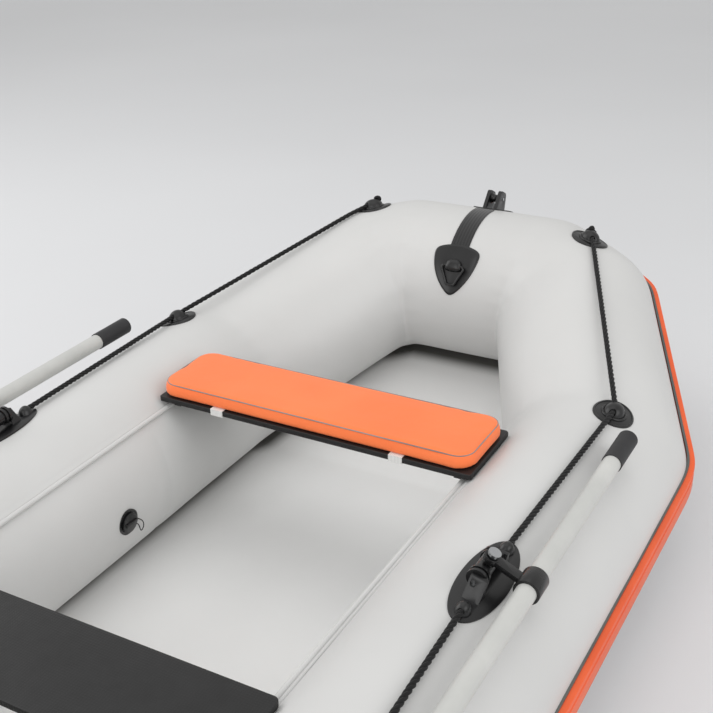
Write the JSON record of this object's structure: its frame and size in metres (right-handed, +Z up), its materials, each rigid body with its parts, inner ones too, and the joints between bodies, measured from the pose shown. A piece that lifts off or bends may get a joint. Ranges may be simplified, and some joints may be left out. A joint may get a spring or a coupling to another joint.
{
  "type": "inflatable rowing dinghy",
  "caption": "Inflatable rowing dinghy: round tubes with a raised blunt bow, sliding padded seat, oars in swivel oarlocks, grab lines and a bow roller.",
  "frame": {"origin": "on the underside of the bottom panel, amidships, on the keel line", "axes": "+X to the bow, +Y to port, +Z up"},
  "size_m": [2.894, 1.414, 0.5909],
  "materials": {
    "hull_fabric": "satin coated fabric",
    "bulkhead_fabric": "matte coated fabric",
    "bottom_fabric": "satin coated fabric",
    "strake_orange": "satin",
    "strake_grey": "satin",
    "black_rubber": "satin",
    "rope": "braided",
    "black_plastic": "satin",
    "blade_plastic": "satin",
    "steel": "brushed",
    "oar_tube": "satin",
    "grip_rubber": "matte",
    "seat_board": "painted",
    "seat_pad": "coated fabric over foam",
    "white_webbing": "woven",
    "black_webbing": "ribbed weave"
  },
  "bodies": {
    "hull": {"bow_air_chamber": "hull_fabric", "stern_air_chamber": "hull_fabric", "bottom_panel": "bottom_fabric", "rubbing_strake": "strake_orange", "strake_stripe": "strake_grey", "tow_patch": "black_rubber", "bow_strap": "black_webbing", "bow_roller_bracket": "black_rubber", "bow_roller_axle": "steel", "stern_handle": "black_webbing", "stern_handle_patches": "black_rubber", "oarlock_axles": "steel", "stern_valve_body": "black_plastic", "bow_valve_body": "black_plastic", "stern_valve_spring": "steel", "bow_valve_spring": "steel", "keeper_cord": "rope", "bulkhead_port": "bulkhead_fabric", "bulkhead_starboard": "bulkhead_fabric", "seat_rail_port": "hull_fabric", "seat_rail_starboard": "hull_fabric", "oarlock_base_port": "black_rubber", "oarlock_base_starboard": "black_rubber", "grab_line_fore_port": "rope", "grab_line_fore_starboard": "rope", "grab_line_aft_port": "rope", "grab_line_aft_starboard": "rope", "rope_holder_bow_port": "black_rubber", "rope_holder_bow_starboard": "black_rubber", "rope_holder_fore_port": "black_rubber", "rope_holder_fore_starboard": "black_rubber", "rope_holder_aft_port": "black_rubber", "rope_holder_aft_starboard": "black_rubber", "rope_holder_stern_port": "black_rubber", "rope_holder_stern_starboard": "black_rubber"},
    "front_seat": {"front_seat_board": "seat_board", "front_seat_slides": "black_plastic", "seat_pad": "seat_pad", "pad_straps": "white_webbing"},
    "rear_seat": {"rear_seat_board": "seat_board", "rear_seat_slides": "black_plastic"},
    "oarlock_port": {"oarlock_barrel_port": "black_plastic", "oar_pin_port": "steel"},
    "oar_port": {"oar_shaft_port": "oar_tube", "oar_grip_port": "grip_rubber", "oar_blade_port": "blade_plastic", "oar_collar_port": "black_plastic"},
    "oarlock_starboard": {"oarlock_barrel_starboard": "black_plastic", "oar_pin_starboard": "steel"},
    "oar_starboard": {"oar_shaft_starboard": "oar_tube", "oar_grip_starboard": "grip_rubber", "oar_blade_starboard": "blade_plastic", "oar_collar_starboard": "black_plastic"},
    "bow_roller": {"bow_roller": "black_plastic"},
    "tow_ring": {"tow_ring": "black_plastic"},
    "stern_valve_cap": {"stern_valve_cap": "black_plastic"},
    "stern_valve_plunger": {"stern_valve_plunger": "black_plastic"},
    "bow_valve_cap": {"bow_valve_cap": "black_plastic"},
    "bow_valve_plunger": {"bow_valve_plunger": "black_plastic"}
  },
  "joints": [
    {"name": "front_seat_slide", "type": "slide", "parent": "hull", "child": "front_seat", "axis": [1, 0, 0], "range_m": [-0.2, 0]},
    {"name": "rear_seat_slide", "type": "slide", "parent": "hull", "child": "rear_seat", "axis": [1, 0, 0], "range_m": [0, 0.25]},
    {"name": "oar_lift_port", "type": "hinge", "parent": "hull", "child": "oarlock_port", "pos_m": [-0.03, 0.541, 0.418], "axis": [1, 0, 0], "range_deg": [0, 40]},
    {"name": "oar_swing_port", "type": "hinge", "parent": "oarlock_port", "child": "oar_port", "pos_m": [-0.03, 0.541, 0.418], "axis": [0, 0.4226, 0.9063], "range_deg": [-135, 0]},
    {"name": "oar_lift_starboard", "type": "hinge", "parent": "hull", "child": "oarlock_starboard", "pos_m": [-0.03, -0.541, 0.418], "axis": [1, 0, 0], "range_deg": [-40, 0]},
    {"name": "oar_swing_starboard", "type": "hinge", "parent": "oarlock_starboard", "child": "oar_starboard", "pos_m": [-0.03, -0.541, 0.418], "axis": [0, -0.4226, 0.9063], "range_deg": [0, 135]},
    {"name": "bow_roller_spin", "type": "hinge", "parent": "hull", "child": "bow_roller", "pos_m": [1.34196, 0, 0.56804], "axis": [0, 1, 0], "continuous": true},
    {"name": "tow_ring_swing", "type": "hinge", "parent": "hull", "child": "tow_ring", "pos_m": [1.06171, 0, 0.47087], "axis": [0, 1, 0], "range_deg": [0, 110]},
    {"name": "stern_valve_cap_turn", "type": "hinge", "parent": "hull", "child": "stern_valve_cap", "pos_m": [0.074, 0.30248, 0.18533], "axis": [0, -0.9976, -0.0698], "range_deg": [0, 90]},
    {"name": "stern_valve_plunger_press", "type": "slide", "parent": "hull", "child": "stern_valve_plunger", "axis": [0, 0.9976, 0.0698], "range_m": [0, 0.006], "stiffness_N_per_m": 900, "springref_m": -0.004},
    {"name": "bow_valve_cap_turn", "type": "hinge", "parent": "hull", "child": "bow_valve_cap", "pos_m": [0.56, -0.30248, 0.18533], "axis": [0, 0.9976, -0.0698], "range_deg": [0, 90]},
    {"name": "bow_valve_plunger_press", "type": "slide", "parent": "hull", "child": "bow_valve_plunger", "axis": [0, -0.9976, 0.0698], "range_m": [0, 0.006], "stiffness_N_per_m": 900, "springref_m": -0.004}
  ]
}
